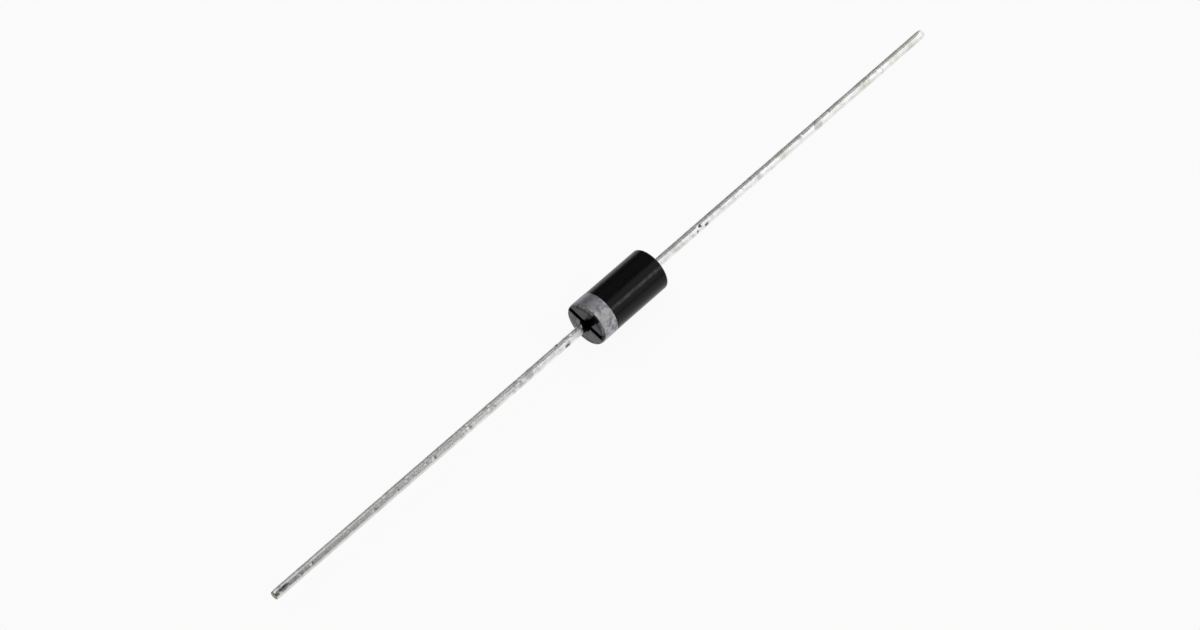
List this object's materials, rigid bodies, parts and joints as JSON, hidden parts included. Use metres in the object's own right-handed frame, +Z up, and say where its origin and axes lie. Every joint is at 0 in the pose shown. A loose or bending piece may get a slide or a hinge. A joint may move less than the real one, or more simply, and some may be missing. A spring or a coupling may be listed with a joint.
{
  "type": "axial rectifier diode",
  "caption": "Moulded cylindrical rectifier diode with a printed cathode band and a long straight wire lead out of each end.",
  "frame": {"origin": "middle of the moulded case, on the axis of the leads", "axes": "+X along the axis towards the anode lead, so the cathode and its band are at -X; +Z up, with the diode lying on its side as on a bench"},
  "size_m": [0.0646, 0.0034, 0.0034],
  "materials": {
    "moulded_epoxy": "black moulded epoxy, fine matt texture",
    "band_ink": "speckled silver-grey printing ink",
    "tinned_wire": "bright tin on drawn copper wire, with fine draw marks",
    "silicon": "sawn and etched silicon",
    "solder": "dull solder",
    "coating_resin": "cured pale resin"
  },
  "bodies": {
    "root": {"case": "moulded_epoxy", "cathode_band": "band_ink", "cathode_lead": "tinned_wire", "anode_lead": "tinned_wire", "silicon_die": "silicon", "cathode_solder": "solder", "anode_solder": "solder", "junction_coating": "coating_resin"}
  },
  "joints": []
}
